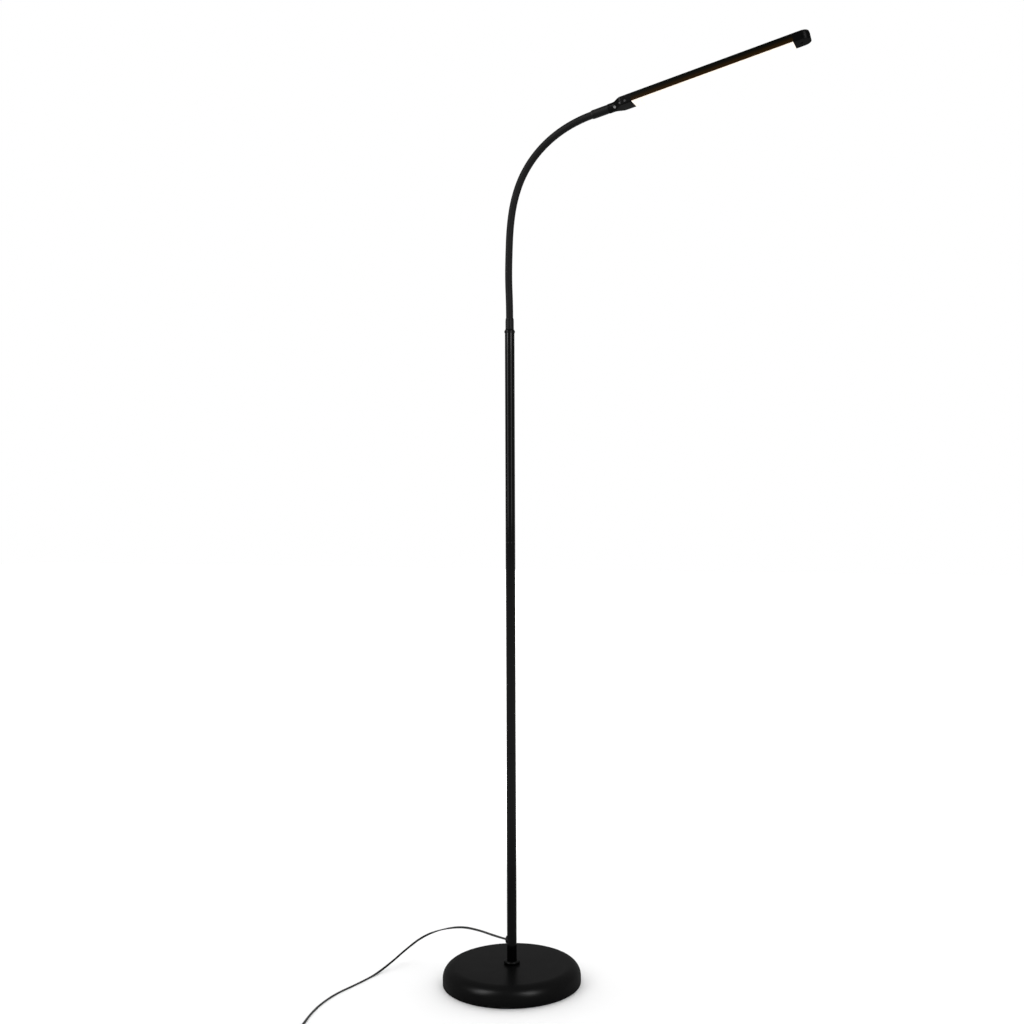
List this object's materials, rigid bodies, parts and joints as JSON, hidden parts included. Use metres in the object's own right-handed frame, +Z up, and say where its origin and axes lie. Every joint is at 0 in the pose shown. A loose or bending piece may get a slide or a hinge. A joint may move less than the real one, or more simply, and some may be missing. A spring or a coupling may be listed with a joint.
{
  "type": "gooseneck floor lamp",
  "caption": "Slim reading floor lamp: weighted round base, straight pole, flexible gooseneck and a flat LED bar with touch keys, with its supply cord and plug-in adapter.",
  "frame": {"origin": "centre of the base's underside, on the floor", "axes": "+Z up along the pole, +X the way the head reaches out, the touch keys face -Y"},
  "size_m": [0.7521, 0.5479, 1.5181],
  "materials": {
    "base_paint": "satin black paint with a soft sheen",
    "raw_casting": "raw grey iron casting",
    "zinc_steel": "bright zinc-plated steel",
    "pad_foam": "matt black non-slip pad",
    "pole_paint": "gloss black paint",
    "insert_plastic": "unpainted moulded plastic",
    "grommet_rubber": "soft black rubber",
    "wire_skin": "dark flexible insulation",
    "neck_skin": "matt dark-grey rubber skin over the links",
    "ferrule_plastic": "matt black",
    "head_plastic": "fine-textured matt black",
    "cap_plastic": "fine-textured matt black",
    "key_pad": "smooth translucent grey",
    "board_green": "green board laminate",
    "header_plastic": "black moulded header",
    "led_board_white": "white-coated aluminium board",
    "led_phosphor": "yellow phosphor in a white case",
    "tray_white": "gloss white reflector",
    "diffuser_opal": "opal white diffuser",
    "screw_black": "blackened steel",
    "cord_skin": "satin black flexible cord",
    "adapter_plastic": "textured black plastic",
    "pin_metal": "nickel-plated brass"
  },
  "bodies": {
    "stand": {"base_cover": "base_paint", "base_weight": "raw_casting", "base_plate": "zinc_steel", "base_screws": "zinc_steel", "base_pad": "pad_foam", "foot_washer": "zinc_steel", "foot_nut": "zinc_steel", "foot_stud": "zinc_steel", "foot_ring": "base_paint", "pole_foot_insert": "insert_plastic", "pole_lower": "pole_paint", "pole_middle": "pole_paint", "pole_upper": "pole_paint", "pole_joiner_lower": "zinc_steel", "pole_joiner_upper": "zinc_steel", "pole_top_insert": "insert_plastic", "pole_collar": "pole_paint", "cord_grommet": "grommet_rubber", "pole_wire": "wire_skin", "neck_ferrule": "ferrule_plastic", "neck_link_0": "neck_skin", "cord": "cord_skin", "cord_coil": "cord_skin", "adapter_relief": "cord_skin", "adapter_body": "adapter_plastic", "adapter_pins": "pin_metal"},
    "neck_1": {"neck_link_1": "neck_skin", "neck_wire_1": "wire_skin"},
    "neck_2": {"neck_link_2": "neck_skin", "neck_wire_2": "wire_skin"},
    "neck_3": {"neck_link_3": "neck_skin", "neck_wire_3": "wire_skin"},
    "neck_4": {"neck_link_4": "neck_skin", "neck_wire_4": "wire_skin"},
    "neck_5": {"neck_link_5": "neck_skin", "neck_wire_5": "wire_skin"},
    "neck_6": {"neck_link_6": "neck_skin", "neck_wire_6": "wire_skin"},
    "neck_7": {"neck_link_7": "neck_skin", "neck_wire_7": "wire_skin"},
    "head": {"neck_link_8": "neck_skin", "head_ferrule": "ferrule_plastic", "head_wire": "wire_skin", "control_housing": "head_plastic", "key_power": "key_pad", "key_dimmer": "key_pad", "key_colour": "key_pad", "control_board": "board_green", "board_header": "header_plastic", "bar_housing": "head_plastic", "led_board": "led_board_white", "led_chips": "led_phosphor", "light_tray": "tray_white", "diffuser": "diffuser_opal", "end_cap": "cap_plastic", "end_screw": "screw_black"}
  },
  "joints": [
    {"name": "bend_1_forward", "type": "hinge", "parent": "stand", "child": "neck_1", "pos_m": [-0.00088, 0, 1.15069], "axis": [0, 1, 0], "range_deg": [-20, 20]},
    {"name": "bend_2_sideways", "type": "hinge", "parent": "neck_1", "child": "neck_2", "pos_m": [-0.00126, 0, 1.19438], "axis": [-0.9997, 0, 0.0227], "range_deg": [-20, 20]},
    {"name": "bend_3_forward", "type": "hinge", "parent": "neck_2", "child": "neck_3", "pos_m": [0.0003, 0, 1.23805], "axis": [0, 1, 0], "range_deg": [-20, 20]},
    {"name": "bend_4_forward", "type": "hinge", "parent": "neck_3", "child": "neck_4", "pos_m": [0.00487, 0, 1.28149], "axis": [0, 1, 0], "range_deg": [-20, 20]},
    {"name": "bend_5_sideways", "type": "hinge", "parent": "neck_4", "child": "neck_5", "pos_m": [0.01627, 0, 1.32359], "axis": [-0.933, 0, 0.36], "range_deg": [-20, 20]},
    {"name": "bend_6_forward", "type": "hinge", "parent": "neck_5", "child": "neck_6", "pos_m": [0.03742, 0, 1.36167], "axis": [0, 1, 0], "range_deg": [-20, 20]},
    {"name": "bend_7_sideways", "type": "hinge", "parent": "neck_6", "child": "neck_7", "pos_m": [0.06796, 0, 1.39275], "axis": [-0.6157, 0, 0.788], "range_deg": [-20, 20]},
    {"name": "bend_8_forward", "type": "hinge", "parent": "neck_7", "child": "head", "pos_m": [0.10524, 0, 1.41537], "axis": [0, 1, 0], "range_deg": [-20, 20]}
  ]
}
